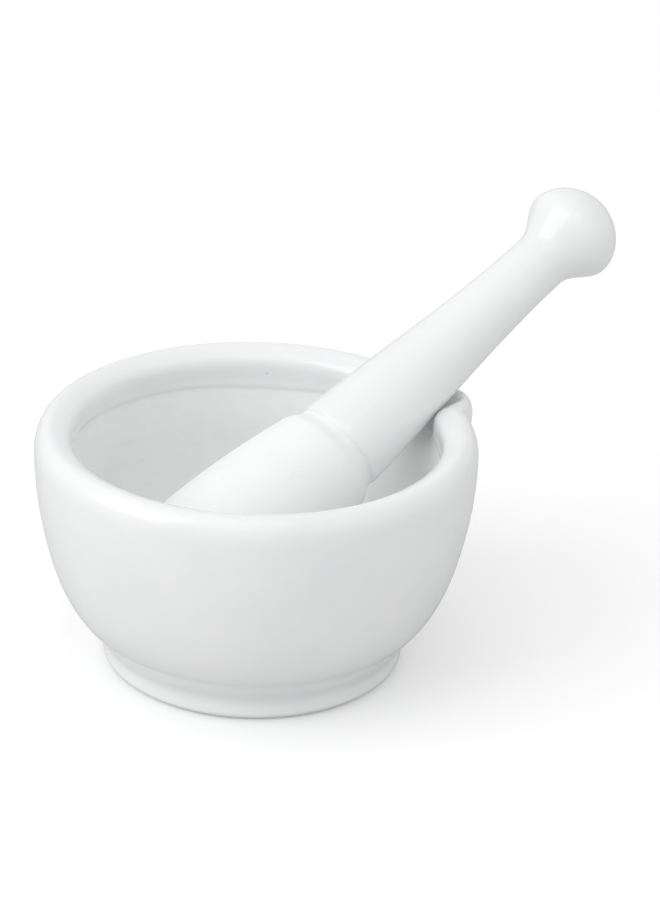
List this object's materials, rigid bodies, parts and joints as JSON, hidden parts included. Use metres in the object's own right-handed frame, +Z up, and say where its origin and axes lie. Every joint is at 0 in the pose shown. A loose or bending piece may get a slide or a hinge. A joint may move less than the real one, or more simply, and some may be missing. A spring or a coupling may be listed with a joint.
{
  "type": "mortar and pestle",
  "caption": "Round porcelain mortar with a thick rim, pouring spout and foot ring, and a porcelain pestle with a knob, leaning in it, for grinding by hand.",
  "frame": {"origin": "on the bowl's axis, in the plane that the foot ring stands on", "axes": "+Z up the bowl's axis, +X out through the pouring spout"},
  "size_m": [0.191, 0.13, 0.1259],
  "materials": {
    "mortar_porcelain": "white glaze outside and on the rim, unglazed white grinding surface inside",
    "pestle_porcelain": "white glazed handle and knob, unglazed white grinding head"
  },
  "bodies": {
    "mortar": {"mortar": "mortar_porcelain"},
    "pestle": {"pestle": "pestle_porcelain"}
  },
  "joints": [
    {"name": "pestle_lift", "type": "slide", "parent": "mortar", "child": "pestle", "axis": [0, 0, 1], "range_m": [0, 0.12]}
  ]
}
